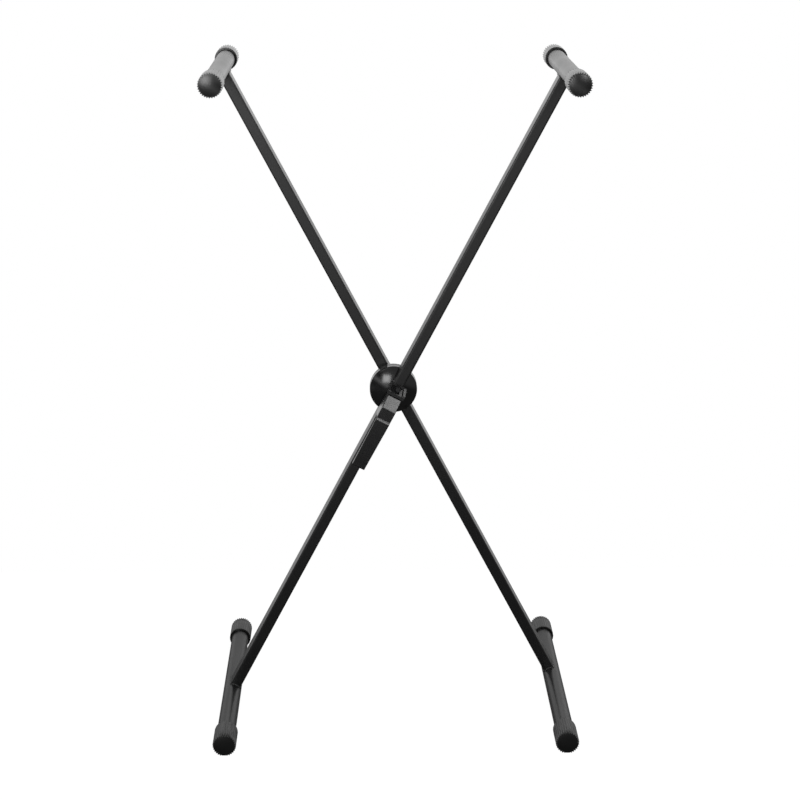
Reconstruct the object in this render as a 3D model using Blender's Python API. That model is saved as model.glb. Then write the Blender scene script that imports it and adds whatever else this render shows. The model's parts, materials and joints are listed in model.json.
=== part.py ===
"""Folding keyboard stand with one crossed pair of arms, in metres, +Z up.

The stand rests on the floor at z = 0, under the middle of its bounding box. The rear frame is
the arm from upper left to lower right with its two bars, the front frame is the other arm with
its two bars, and they turn about the bolt through the hub. Each frame is modelled upright in its
own axes, with local Z along the arm, local Y along the bars and the origin on the bolt's axis.
"""

import math

import bmesh
import bpy
from mathutils import Vector

MM = 0.001

# Clearances shared by neighbouring pieces
SEAT_GAP = 0.3 * MM
RUNNING_GAP = 0.15 * MM

# Stance
OPEN_ANGLE = math.radians(55.5)
FOLD_RANGE = math.radians(45.0)
TILT = OPEN_ANGLE / 2

# Arms: rectangular tube, its narrow side seen from the front
ARM_HALF_LENGTH = 495.0 * MM
ARM_WIDTH = 15.0 * MM
ARM_DEPTH = 30.0 * MM
ARM_WALL = 1.5 * MM
ARM_CORNER = 2.4 * MM
ARM_SPACING = 22.0 * MM
HUB_MIDDLE_Y = 6.0 * MM

# Bars and their end caps
BAR_RADIUS = 12.5 * MM
BAR_WALL = 1.5 * MM
TOP_BAR_LENGTH = 370.0 * MM
FOOT_BAR_LENGTH = 430.0 * MM
BAR_SIDES = 32
CAP_RADIUS = 15.8 * MM
CAP_LENGTH = 47.0 * MM
CAP_END_WALL = 3.5 * MM
CAP_FACE_RADIUS = 12.4 * MM
CAP_DOME = 0.9 * MM
CAP_RIM_ROUND = 3.2 * MM
CAP_TOOTH_DEPTH = 0.7 * MM
CAP_TEETH = 32
CAP_CHAMFER = 1.0 * MM
FOOT_FLAT_WIDTH = 14.0 * MM

# Hub between the arms, with its front shell domed round the front arm
HUB_RADIUS = 32.7 * MM
HUB_SEAM_Y = 3.2 * MM
HUB_EDGE = 1.2 * MM
HUB_WALL = 2.0 * MM
HUB_FRONT_SIDE = 10.2 * MM
HUB_FRONT_DOME = 8.4 * MM
HUB_DOME_STEPS = 5
HUB_REAR_SIDE = 4.8 * MM
HUB_REAR_TAPER = 1.3 * MM
HUB_REAR_TAPER_LENGTH = 4.3 * MM
HUB_SEAT_RADIUS = 13.0 * MM
HUB_CROWN_SHARE = 0.65
HUB_SIDES = 36

# Pivot bolt, washers and nut
BOLT_RADIUS = 4.0 * MM
BOLT_HEAD_FLATS = 13.0 * MM
BOLT_HEAD_HEIGHT = 5.3 * MM
NUT_HEIGHT = 3.0 * MM
BOLT_END = 0.3 * MM
WASHER_RADIUS = 7.4 * MM
WASHER_THICKNESS = 1.2 * MM
SLEEVE_WALL = 1.5 * MM

# Index disc and its fixings, on the rear frame
DISC_RADIUS = 28.9 * MM
DISC_THICKNESS = 3.0 * MM
DISC_BEHIND_MIDDLE = 2.0 * MM
NOTCH_STEP = math.radians(15.0)
NOTCH_COUNT = 7
NOTCH_WIDTH = 4.6 * MM
NOTCH_DEPTH = 7.5 * MM
SPACER_RADIUS = 9.0 * MM
PIVOT_SPACER_RADIUS = 6.5 * MM
DOWEL_RADIUS = 1.5 * MM
DOWEL_OFFSET = 14.0 * MM

# Lock pin and its dog, on the front frame
PIN_UP = 11.0 * MM
PIN_RADIUS = 3.0 * MM
PIN_NECK_RADIUS = 1.5 * MM
PIN_NECK_PLAY = 1.5 * MM
PIN_HEAD_HEIGHT = 2.5 * MM
DOG_WIDTH = 4.0 * MM
DOG_THICKNESS = 3.3 * MM
DOG_REACH = 27.0 * MM
GUIDE_WALL = 1.3 * MM

# Lever hinge, measured down the arm and out from its front face
HINGE_DOWN = 12.0 * MM
HINGE_OUT = 9.5 * MM
HINGE_PIN_RADIUS = 2.0 * MM
LEVER_SWING = math.radians(9.0)

# Bracket on the front arm: two cheeks, a deck between them and a bridge across the front
BRACKET_HALF_WIDTH = 12.2 * MM
BRACKET_WALL = 3.8 * MM
BRACKET_TOP = 15.5 * MM
BRACKET_FRONT_TOP = 9.5 * MM
BRACKET_BOTTOM = -3.2 * MM
BRACKET_REACH = 25.0 * MM
BRACKET_ROUND = 2.0 * MM
DECK_DROP = 2.4 * MM
DECK_THICKNESS = 2.0 * MM
DECK_GROOVE = 0.9 * MM
BRIDGE_THICKNESS = 2.4 * MM
PLATE_THICKNESS = 2.0 * MM
PLATE_END = 27.5 * MM
LUG_INNER = 4.0 * MM
LUG_THICKNESS = 2.6 * MM
LUG_RADIUS = 4.0 * MM
RIVET_DOWN = 18.6 * MM
RIVET_RADIUS = 1.6 * MM
RIVET_HEAD_RADIUS = 2.4 * MM
RIVET_HEAD_HEIGHT = 1.2 * MM
RIVET_GRIP = 3.0 * MM

# Release lever
LEVER_HALF_WIDTH = 10.2 * MM
LEVER_END_HALF_WIDTH = 9.2 * MM
LEVER_SKIN = 2.2 * MM
LEVER_CHEEK = 2.4 * MM
LEVER_TOP = -2.4 * MM
LEVER_LENGTH = 106.0 * MM
RAMP_TOP_OUT = 25.0 * MM
RAMP_END = 16.0 * MM
FACE_OUT = 32.0 * MM
LEDGE_DOWN = 32.0 * MM
LEDGE_DROP = 2.5 * MM
LEDGE_OUT = 39.5 * MM
LEVER_END_OUT = 36.0 * MM
LEVER_BODY_DEPTH = 9.7 * MM
LEVER_EDGE = 0.9 * MM
LEVER_BACK_GAP = 1.0 * MM
LEVER_HEEL_DOWN = 4.9 * MM
LEVER_HEEL_OUT = 10.0 * MM

# Fork that pulls the lock pin
FORK_THICKNESS = 2.0 * MM
FORK_HALF_WIDTH = 3.0 * MM
FORK_BARREL_RADIUS = 3.6 * MM
FORK_TIP_PAST_PIN = 1.2 * MM

# Springs, drawn at their pressed length
RETURN_WIRE_RADIUS = 0.35 * MM
RETURN_SPRING_RADIUS = 2.2 * MM
RETURN_SPRING_DOWN = 24.2 * MM
RETURN_SPRING_LENGTH = 3.2 * MM
PIN_WIRE_RADIUS = 0.25 * MM
PIN_SPRING_LENGTH = 2.4 * MM
PIN_SPRING_PLAY = 0.6 * MM
SPRING_TURNS = 2
SPRING_POINTS = 10

# Places worked out from the sizes
FOOT_FLAT_HEIGHT = math.sqrt(CAP_RADIUS**2 - (FOOT_FLAT_WIDTH / 2) ** 2)
PIVOT_HEIGHT = ARM_HALF_LENGTH * math.cos(TILT) + FOOT_FLAT_HEIGHT
FRONT_ARM_BACK = HUB_MIDDLE_Y - ARM_SPACING / 2
FRONT_ARM_FACE = FRONT_ARM_BACK - ARM_DEPTH
REAR_ARM_FRONT = HUB_MIDDLE_Y + ARM_SPACING / 2
REAR_ARM_BACK = REAR_ARM_FRONT + ARM_DEPTH
BOLT_HOLE_RADIUS = BOLT_RADIUS + SEAT_GAP
PIN_HOLE_RADIUS = PIN_RADIUS + SEAT_GAP
DISC_FRONT = HUB_MIDDLE_Y + DISC_BEHIND_MIDDLE
DISC_BACK = DISC_FRONT + DISC_THICKNESS
DOG_BACK = DISC_FRONT - SEAT_GAP
DOG_FRONT = DOG_BACK - DOG_THICKNESS
FRONT_SHELL_SEAT = FRONT_ARM_BACK + SEAT_GAP
FRONT_SHELL_INSIDE = FRONT_SHELL_SEAT + HUB_WALL
REAR_SHELL_SEAT = REAR_ARM_FRONT - SEAT_GAP
REAR_SHELL_INSIDE = REAR_SHELL_SEAT - HUB_WALL
PLATE_TOP_OUT = SEAT_GAP + PLATE_THICKNESS
NUT_OUT = PLATE_TOP_OUT + 2 * SEAT_GAP + WASHER_THICKNESS
FORK_FRONT_OUT = HINGE_OUT + FORK_THICKNESS / 2
PLATE_HALF_WIDTH = LEVER_HALF_WIDTH - LEVER_CHEEK - 2 * SEAT_GAP
DECK_BACK_TOP = DECK_DROP - BRACKET_TOP
DECK_FRONT_TOP = DECK_DROP - BRACKET_FRONT_TOP
DECK_SLOT_HALF = PIN_RADIUS + SEAT_GAP
BRIDGE_BACK = BRACKET_REACH - BRIDGE_THICKNESS
LEVER_BACK_OUT = LEVER_BACK_GAP + SEAT_GAP + (LEDGE_DOWN - HINGE_DOWN) * math.sin(LEVER_SWING)


def clear_scene():
    for obj in list(bpy.data.objects):
        bpy.data.objects.remove(obj, do_unlink=True)


def make_material(name, colour, roughness, metallic):
    material = bpy.data.materials.new(name)
    material.use_nodes = True
    shader = material.node_tree.nodes["Principled BSDF"]
    shader.inputs["Base Color"].default_value = (*colour, 1.0)
    shader.inputs["Roughness"].default_value = roughness
    shader.inputs["Metallic"].default_value = metallic
    return material


def make_empty(name, location, tilt=0.0, parent=None):
    empty = bpy.data.objects.new(name, None)
    empty.location = location
    empty.rotation_euler = (0.0, tilt, 0.0)
    empty.parent = parent
    bpy.context.scene.collection.objects.link(empty)
    return empty


def add_object(name, shape, parent, location=(0.0, 0.0, 0.0)):
    """Link a shape as an object, shaded smooth with its corners kept sharp."""
    mesh = bpy.data.meshes.new(name)
    shape.to_mesh(mesh)
    shape.free()
    mesh.shade_smooth()
    mesh.set_sharp_from_angle(angle=math.radians(35.0))
    obj = bpy.data.objects.new(name, mesh)
    obj.parent = parent
    obj.location = location
    bpy.context.scene.collection.objects.link(obj)
    return obj


def add_piece(name, shape, parent, finish, location=(0.0, 0.0, 0.0)):
    """A sub-part with a material of its own, made from one of the finishes."""
    obj = add_object(name, shape, parent, location)
    obj.data.materials.append(make_material(name, *finish))
    return obj


def combine(obj, shape, operation):
    """Cut a shape from an object, or join it on, in the object's own axes."""
    helper = add_object(f"{obj.name}_{operation.lower()}", shape, obj.parent, obj.location)
    helper.hide_render = True
    helper.display_type = "WIRE"
    modifier = obj.modifiers.new(helper.name, "BOOLEAN")
    modifier.operation = operation
    modifier.solver = "EXACT"
    modifier.object = helper


def cut(obj, shape):
    combine(obj, shape, "DIFFERENCE")


def join(obj, shape):
    combine(obj, shape, "UNION")


def skin(rings, closed=False, capped=False):
    """Faces between successive rings of points. A ring of one point is a pole."""
    shape = bmesh.new()
    loops = [[shape.verts.new(point) for point in ring] for ring in rings]
    pairs = list(zip(loops, loops[1:]))
    if closed:
        pairs.append((loops[-1], loops[0]))
    for first, second in pairs:
        count = max(len(first), len(second))
        for here in range(count):
            there = (here + 1) % count
            corners = (
                first[here % len(first)],
                first[there % len(first)],
                second[there % len(second)],
                second[here % len(second)],
            )
            shape.faces.new(list(dict.fromkeys(corners)))
    if capped:
        shape.faces.new(loops[0])
        shape.faces.new(loops[-1])
    bmesh.ops.recalc_face_normals(shape, faces=shape.faces[:])
    return shape


def circle(radius, height, sides, start=0.0):
    """Points round the local Y axis at one height along it."""
    if radius == 0.0:
        return [Vector((0.0, height, 0.0))]
    angles = [start + 2 * math.pi * k / sides for k in range(sides)]
    return [Vector((radius * math.cos(a), height, radius * math.sin(a))) for a in angles]


def turned(profile, sides):
    """A profile of (radius, height) turned round local Y. Without a pole it closes on itself."""
    rings = [circle(radius, height, sides) for radius, height in profile]
    return skin(rings, closed=profile[0][0] > 0.0)


def rod(radius, low, high, sides=24, centre=(0.0, 0.0)):
    """A solid cylinder along local Y, with its centre at (x, z) and a flat on each side."""
    start = math.pi / sides
    ends = [circle(radius, height, sides, start) for height in (low, high)]
    shape = skin(ends, capped=True)
    bmesh.ops.translate(shape, verts=shape.verts[:], vec=(centre[0], 0.0, centre[1]))
    return shape


def tube(outer, inner, low, high, sides=24):
    return turned([(outer, low), (outer, high), (inner, high), (inner, low)], sides)


def cross_rod(radius, half_length, centre, sides=20):
    """A solid cylinder along local X, with its centre at (y, z)."""
    angles = [2 * math.pi * k / sides for k in range(sides)]
    rings = [
        [
            Vector((x, centre[0] + radius * math.cos(a), centre[1] + radius * math.sin(a)))
            for a in angles
        ]
        for x in (-half_length, half_length)
    ]
    return skin(rings, capped=True)


def block(low, high):
    """A box between two corners."""
    corners = ((low[0], low[1]), (high[0], low[1]), (high[0], high[1]), (low[0], high[1]))
    rings = [[Vector((x, y, z)) for x, y in corners] for z in (low[2], high[2])]
    return skin(rings, capped=True)


def side_prism(outline, left, right, origin=(0.0, 0.0)):
    """An outline of (down, out) points carried across the arm from left to right.

    Down is measured along the arm from the pivot and out from the arm's front face. The origin
    is the (down, out) of the object's own origin.
    """
    rings = [
        [Vector((x, origin[1] - out, origin[0] - down)) for down, out in outline]
        for x in (left, right)
    ]
    return skin(rings, capped=True)


def rounded_rectangle(width, depth, corner, steps=3):
    """Points round a rectangle in X and Y, centred, with round corners."""
    points = []
    for quarter, (sx, sy) in enumerate(((1, 1), (-1, 1), (-1, -1), (1, -1))):
        for step in range(steps + 1):
            angle = math.pi / 2 * (quarter + step / steps)
            x = sx * (width / 2 - corner) + corner * math.cos(angle)
            y = sy * (depth / 2 - corner) + corner * math.sin(angle)
            points.append((x, y))
    return points


def hexagon_rod(flats, low, high):
    return rod(flats / math.sqrt(3), low, high, sides=6)


def helix(name, parent, wire_radius, radius, length, location):
    """A coil spring round local Y whose ends run straight for one wire diameter."""
    wire = 2 * wire_radius
    rise = length - wire
    count = SPRING_TURNS * SPRING_POINTS
    points = []
    for step in range(count + 1):
        angle = 2 * math.pi * step / SPRING_POINTS
        height = wire_radius + rise * step / count
        points.append(Vector((radius * math.cos(angle), height, radius * math.sin(angle))))
    points.insert(0, points[0] - (points[1] - points[0]).normalized() * wire)
    points.append(points[-1] + (points[-1] - points[-2]).normalized() * wire)
    curve = bpy.data.curves.new(name, "CURVE")
    curve.dimensions = "3D"
    curve.bevel_depth = wire_radius
    curve.bevel_resolution = 1
    curve.use_fill_caps = True
    spline = curve.splines.new("POLY")
    spline.points.add(len(points) - 1)
    for point, place in zip(spline.points, points):
        point.co = (*place, 1.0)
    curve.materials.append(make_material(name, *SPRING_STEEL))
    obj = bpy.data.objects.new(name, curve)
    obj.parent = parent
    obj.location = location
    bpy.context.scene.collection.objects.link(obj)
    gap = rise / SPRING_TURNS - wire
    print(f"{name}: least gap between its curls {gap * 1000:.2f} mm")
    return obj


# Finishes: linear colour, roughness, metallic
POWDER_COAT = ((0.016, 0.016, 0.017), 0.42, 0.0)
MOULDED_CAP = ((0.012, 0.012, 0.012), 0.55, 0.0)
GLOSS_MOULDING = ((0.008, 0.008, 0.009), 0.22, 0.0)
LEVER_MOULDING = ((0.014, 0.014, 0.015), 0.38, 0.0)
ZINC_PLATE = ((0.55, 0.56, 0.58), 0.35, 1.0)
BLACK_OXIDE = ((0.008, 0.008, 0.009), 0.5, 0.0)
SPRING_STEEL = ((0.45, 0.45, 0.46), 0.3, 1.0)
NYLON = ((0.62, 0.61, 0.57), 0.5, 0.0)


def make_arm(name, parent, back, pin_hole, rivet_hole):
    """A rectangular tube, saddle cut on both bars, with its holes through both walls."""
    middle = back - ARM_DEPTH / 2
    outer = rounded_rectangle(ARM_WIDTH, ARM_DEPTH, ARM_CORNER)
    inner = rounded_rectangle(
        ARM_WIDTH - 2 * ARM_WALL, ARM_DEPTH - 2 * ARM_WALL, ARM_CORNER - ARM_WALL
    )
    rings = []
    for outline, ends in ((outer, (-1, 1)), (inner, (1, -1))):
        for end in ends:
            height = end * ARM_HALF_LENGTH
            rings.append([Vector((x, middle + y, height)) for x, y in outline])
    arm = add_piece(name, skin(rings, closed=True), parent, POWDER_COAT)
    past = ARM_DEPTH / 2 + ARM_WALL
    for end in (-1, 1):
        saddle = rod(
            BAR_RADIUS + SEAT_GAP,
            middle - past,
            middle + past,
            sides=BAR_SIDES,
            centre=(0.0, end * ARM_HALF_LENGTH),
        )
        cut(arm, saddle)
    cut(arm, rod(BOLT_HOLE_RADIUS, middle - past, middle + past))
    if pin_hole:
        cut(arm, rod(PIN_HOLE_RADIUS, middle - past, middle + past, centre=(0.0, PIN_UP)))
    if rivet_hole:
        front = middle - ARM_DEPTH / 2
        hole = rod(
            RIVET_RADIUS + SEAT_GAP,
            front - ARM_WALL,
            front + 2 * ARM_WALL,
            sides=16,
            centre=(0.0, -RIVET_DOWN),
        )
        cut(arm, hole)
    return arm


def make_bar(name, parent, length, end):
    """A round tube along local Y at one end of the arm, short of its caps' closed ends."""
    half = length / 2 - CAP_END_WALL - SEAT_GAP
    shape = tube(BAR_RADIUS, BAR_RADIUS - BAR_WALL, -half, half, BAR_SIDES)
    return add_piece(name, shape, parent, POWDER_COAT, (0.0, 0.0, end * ARM_HALF_LENGTH))


def make_cap(name, parent, length, end, side, down=None):
    """A fluted cup over the end of a bar. A foot's cap has a flat that faces down."""
    bore = BAR_RADIUS + SEAT_GAP
    rim = CAP_DOME + CAP_RIM_ROUND
    plain = 2 * CAP_TEETH
    profile = (
        (0.0, 0.0, False),
        (CAP_FACE_RADIUS, CAP_DOME, False),
        (CAP_RADIUS, rim, True),
        (CAP_RADIUS, CAP_LENGTH - CAP_CHAMFER, True),
        (CAP_RADIUS - CAP_CHAMFER, CAP_LENGTH, False),
        (bore, CAP_LENGTH, False),
        (bore, CAP_END_WALL, False),
        (0.0, CAP_END_WALL, False),
    )
    rings = []
    for radius, inward, fluted in profile:
        ring = circle(radius, side * (length / 2 - inward), plain)
        for index, point in enumerate(ring):
            if fluted and index % 2:
                point.x *= 1 - CAP_TOOTH_DEPTH / radius
                point.z *= 1 - CAP_TOOTH_DEPTH / radius
            if down is not None:
                over = max(0.0, point.dot(down) - FOOT_FLAT_HEIGHT)
                point -= down * over
        rings.append(ring)
    return add_piece(name, skin(rings), parent, MOULDED_CAP, (0.0, 0.0, end * ARM_HALF_LENGTH))


def make_frame_tubes(parent, arm_name, back, top_side, foot_side, tilt, on_front):
    """The arm, its two bars and their four caps."""
    make_arm(arm_name, parent, back, pin_hole=on_front, rivet_hole=on_front)
    make_bar(f"{top_side}_top_bar", parent, TOP_BAR_LENGTH, 1)
    make_bar(f"{foot_side}_foot_bar", parent, FOOT_BAR_LENGTH, -1)
    down = Vector((math.sin(tilt), 0.0, -math.cos(tilt)))
    for side, place in ((-1, "front"), (1, "rear")):
        make_cap(f"{top_side}_top_{place}_cap", parent, TOP_BAR_LENGTH, 1, side)
        make_cap(f"{foot_side}_foot_{place}_cap", parent, FOOT_BAR_LENGTH, -1, side, down)


def front_shell_profile():
    """From the crown over the dome to the seam, then back along the flat floor to the middle."""
    edge = HUB_RADIUS - HUB_EDGE
    curve = (edge**2 + HUB_FRONT_DOME**2) / (2 * HUB_FRONT_DOME)
    crown = HUB_FRONT_SIDE + HUB_EDGE + HUB_FRONT_DOME
    profile = []
    for step in range(HUB_DOME_STEPS + 1):
        radius = edge * step / HUB_DOME_STEPS
        profile.append((radius, crown - curve + math.sqrt(curve**2 - radius**2)))
    floor = HUB_SEAM_Y - FRONT_SHELL_INSIDE
    seam = SEAT_GAP / 2
    profile.append((HUB_RADIUS, HUB_FRONT_SIDE))
    profile.append((HUB_RADIUS, seam))
    profile.append((HUB_RADIUS - HUB_WALL, seam))
    profile.append((HUB_RADIUS - HUB_WALL, floor))
    profile.append((0.0, floor))
    return [(radius, HUB_SEAM_Y - height) for radius, height in profile]


def rear_shell_profile():
    """From the seam along the tapered side and the low crown to the arm, and back inside."""
    seam = SEAT_GAP / 2
    seat = REAR_SHELL_SEAT - HUB_SEAM_Y
    inside = REAR_SHELL_INSIDE - HUB_SEAM_Y
    taper_end = HUB_REAR_SIDE + HUB_REAR_TAPER_LENGTH
    taper_radius = HUB_RADIUS - HUB_REAR_TAPER
    shoulder = taper_end + HUB_EDGE
    dome_radius = (taper_radius + HUB_SEAT_RADIUS) / 2
    dome_height = shoulder + HUB_CROWN_SHARE * (seat - shoulder)
    profile = [
        (HUB_RADIUS, seam),
        (HUB_RADIUS, HUB_REAR_SIDE),
        (taper_radius, taper_end),
        (taper_radius - HUB_EDGE, shoulder),
        (dome_radius, dome_height),
        (HUB_SEAT_RADIUS, seat),
        (BOLT_HOLE_RADIUS, seat),
        (BOLT_HOLE_RADIUS, inside),
        (HUB_SEAT_RADIUS, inside),
        (dome_radius, dome_height - HUB_WALL),
        (taper_radius - HUB_WALL, taper_end - HUB_EDGE),
        (HUB_RADIUS - HUB_WALL, HUB_REAR_SIDE),
        (HUB_RADIUS - HUB_WALL, seam),
    ]
    return [(radius, HUB_SEAM_Y + height) for radius, height in profile]


def notched_outline():
    """The index disc's outline in X and Z, with one notch for each height.

    The angles turn from the rear arm's upper end towards the front arm's upper end.
    """
    points = []
    half_notch = math.asin(NOTCH_WIDTH / 2 / DISC_RADIUS)
    floor = DISC_RADIUS - NOTCH_DEPTH
    half_floor = math.asin(NOTCH_WIDTH / 2 / floor)
    first = OPEN_ANGLE - FOLD_RANGE
    notches = [first + NOTCH_STEP * k for k in range(NOTCH_COUNT)]
    for notch in notches:
        points.append((DISC_RADIUS, notch - half_notch))
        points.append((floor, notch - half_floor))
        points.append((floor, notch + half_floor))
        points.append((DISC_RADIUS, notch + half_notch))
    plain_start = notches[-1] + half_notch
    plain_arc = 2 * math.pi - (plain_start - (notches[0] - half_notch))
    steps = 24
    for step in range(1, steps):
        points.append((DISC_RADIUS, plain_start + plain_arc * step / steps))
    return [(radius * math.sin(a), radius * math.cos(a)) for radius, a in points]


def make_index_disc(parent):
    outline = notched_outline()
    rings = [[Vector((x, y, z)) for x, z in outline] for y in (DISC_FRONT, DISC_BACK)]
    disc = add_piece("index_disc", skin(rings, capped=True), parent, ZINC_PLATE)
    past = DISC_THICKNESS
    cut(disc, rod(BOLT_HOLE_RADIUS, DISC_FRONT - past, DISC_BACK + past))
    for place in (-1, 1):
        hole = rod(
            DOWEL_RADIUS + SEAT_GAP,
            DISC_FRONT - past,
            DISC_BACK + past,
            sides=12,
            centre=(0.0, place * DOWEL_OFFSET),
        )
        cut(disc, hole)


def make_rear_hub(parent):
    """What turns with the rear arm inside and behind the hub."""
    moulding = turned(rear_shell_profile(), HUB_SIDES)
    shell = add_piece("hub_rear_shell", moulding, parent, GLOSS_MOULDING)
    make_index_disc(parent)
    spacer = tube(
        SPACER_RADIUS, BOLT_HOLE_RADIUS, DISC_BACK + SEAT_GAP, REAR_SHELL_INSIDE - SEAT_GAP
    )
    add_piece("index_spacer", spacer, parent, ZINC_PLATE)
    for name, place in (("index_dowel_upper", 1), ("index_dowel_lower", -1)):
        centre = (0.0, place * DOWEL_OFFSET)
        dowel = rod(DOWEL_RADIUS, DISC_FRONT, REAR_ARM_FRONT + 2 * ARM_WALL, 12, centre)
        add_piece(name, dowel, parent, ZINC_PLATE)
        hole_radius = DOWEL_RADIUS + SEAT_GAP
        cut(shell, rod(hole_radius, HUB_MIDDLE_Y, REAR_ARM_FRONT, 12, centre))
        arm = bpy.data.objects["rear_arm"]
        cut(arm, rod(hole_radius, REAR_ARM_FRONT - ARM_WALL, REAR_ARM_FRONT + 3 * ARM_WALL, 12, centre))
    sleeve = tube(
        BOLT_HOLE_RADIUS + SLEEVE_WALL - SEAT_GAP,
        BOLT_HOLE_RADIUS,
        REAR_ARM_FRONT + ARM_WALL + SEAT_GAP,
        REAR_ARM_BACK - ARM_WALL - SEAT_GAP,
    )
    add_piece("rear_crush_sleeve", sleeve, parent, ZINC_PLATE)
    ring = tube(
        PIVOT_SPACER_RADIUS,
        BOLT_HOLE_RADIUS,
        FRONT_SHELL_INSIDE + SEAT_GAP,
        DISC_FRONT - SEAT_GAP,
    )
    add_piece("pivot_spacer", ring, parent, NYLON)


def make_pivot_bolt(parent):
    """Hexagon bolt from behind the rear arm to a thin nut in the bracket."""
    washer_back = REAR_ARM_BACK + SEAT_GAP + WASHER_THICKNESS
    head_front = washer_back + SEAT_GAP
    nut_back = FRONT_ARM_FACE - NUT_OUT
    nut_front = nut_back - NUT_HEIGHT
    shank = rod(BOLT_RADIUS, nut_front - BOLT_END, head_front + BOLT_HEAD_HEIGHT / 2)
    bolt = add_piece("pivot_bolt", shank, parent, BLACK_OXIDE)
    join(bolt, hexagon_rod(BOLT_HEAD_FLATS, head_front, head_front + BOLT_HEAD_HEIGHT))
    rear_washer = tube(
        WASHER_RADIUS, BOLT_HOLE_RADIUS, REAR_ARM_BACK + SEAT_GAP, washer_back
    )
    add_piece("bolt_washer", rear_washer, parent, BLACK_OXIDE)
    front_washer = tube(
        WASHER_RADIUS,
        BOLT_HOLE_RADIUS,
        nut_back + SEAT_GAP,
        nut_back + SEAT_GAP + WASHER_THICKNESS,
    )
    add_piece("nut_washer", front_washer, parent, BLACK_OXIDE)
    nut = add_piece(
        "pivot_nut", hexagon_rod(BOLT_HEAD_FLATS, nut_front, nut_back), parent, BLACK_OXIDE
    )
    cut(nut, rod(BOLT_HOLE_RADIUS, nut_front - BOLT_END, nut_back + BOLT_END))


def make_front_hub(parent):
    """What turns with the front arm: the domed shell, and what is inside the hub and the arm."""
    moulding = turned(front_shell_profile(), HUB_SIDES)
    shell = add_piece("hub_front_shell", moulding, parent, GLOSS_MOULDING)
    channel = ARM_WIDTH / 2 + SEAT_GAP
    past = HUB_RADIUS + HUB_WALL
    cut(shell, block((-channel, FRONT_ARM_FACE, -past), (channel, FRONT_SHELL_SEAT, past)))
    cut(shell, rod(BOLT_HOLE_RADIUS, FRONT_ARM_BACK, HUB_MIDDLE_Y))
    cut(shell, rod(PIN_HOLE_RADIUS, FRONT_ARM_BACK, HUB_MIDDLE_Y, centre=(0.0, PIN_UP)))
    low = FRONT_ARM_FACE + ARM_WALL + SEAT_GAP
    high = FRONT_ARM_BACK - ARM_WALL - SEAT_GAP
    sleeve = tube(BOLT_HOLE_RADIUS + SLEEVE_WALL - SEAT_GAP, BOLT_HOLE_RADIUS, low, high)
    add_piece("front_crush_sleeve", sleeve, parent, ZINC_PLATE)
    guide = tube(PIN_HOLE_RADIUS + GUIDE_WALL, PIN_HOLE_RADIUS, low, high)
    add_piece("pin_guide", guide, parent, NYLON, (0.0, 0.0, PIN_UP))
    helix(
        "pin_spring",
        parent,
        PIN_WIRE_RADIUS,
        PIN_RADIUS + PIN_SPRING_PLAY + PIN_WIRE_RADIUS,
        PIN_SPRING_LENGTH,
        (0.0, FRONT_SHELL_INSIDE + SEAT_GAP, PIN_UP),
    )


def make_lock_pin(parent):
    """The pin through the front arm, with its necked head in the bracket and its dog in the hub.

    The dog stands just clear of the index disc, so that the frames turn freely.
    """
    head_back = FRONT_ARM_FACE - FORK_FRONT_OUT - SEAT_GAP
    head_front = head_back - PIN_HEAD_HEIGHT
    shoulder = FRONT_ARM_FACE - HINGE_OUT + FORK_THICKNESS / 2 + PIN_NECK_PLAY
    pin = add_piece(
        "lock_pin",
        rod(PIN_RADIUS, shoulder, DOG_FRONT + DOG_THICKNESS / 2),
        parent,
        BLACK_OXIDE,
        (0.0, 0.0, PIN_UP),
    )
    overlap = PIN_HEAD_HEIGHT / 2
    join(pin, rod(PIN_NECK_RADIUS, head_front + overlap, shoulder + overlap))
    join(pin, rod(PIN_RADIUS, head_front, head_back))
    dog = block(
        (-DOG_WIDTH / 2, DOG_FRONT, -PIN_RADIUS / 2),
        (DOG_WIDTH / 2, DOG_BACK, DOG_REACH - PIN_UP),
    )
    join(pin, dog)


def bracket_cheek():
    """Side view of a bracket wall, as (down, out): a sloping top with a round front corner."""
    points = [
        (BRACKET_BOTTOM, BRACKET_REACH),
        (BRACKET_BOTTOM, SEAT_GAP),
        (-BRACKET_TOP, SEAT_GAP),
    ]
    for step in range(4):
        angle = math.pi - math.pi / 2 * step / 3
        down = BRACKET_ROUND - BRACKET_FRONT_TOP + BRACKET_ROUND * math.cos(angle)
        out = BRACKET_REACH - BRACKET_ROUND + BRACKET_ROUND * math.sin(angle)
        points.append((down, out))
    return points


def bracket_deck():
    """Side view of the deck below the cheeks' tops and of the bridge at its front."""
    return [
        (DECK_BACK_TOP, SEAT_GAP),
        (DECK_FRONT_TOP, BRACKET_REACH),
        (BRACKET_BOTTOM, BRACKET_REACH),
        (BRACKET_BOTTOM, BRIDGE_BACK),
        (DECK_FRONT_TOP + DECK_THICKNESS, BRIDGE_BACK),
        (DECK_BACK_TOP + DECK_THICKNESS, SEAT_GAP),
    ]


def lug_outline():
    """Side view of a hinge lug, as (down, out): straight sides with a round end."""
    points = [(HINGE_DOWN + LUG_RADIUS, SEAT_GAP), (HINGE_DOWN - LUG_RADIUS, SEAT_GAP)]
    steps = 8
    for step in range(steps + 1):
        angle = math.pi - math.pi * step / steps
        down = HINGE_DOWN + LUG_RADIUS * math.cos(angle)
        points.append((down, HINGE_OUT + LUG_RADIUS * math.sin(angle)))
    return points


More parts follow.
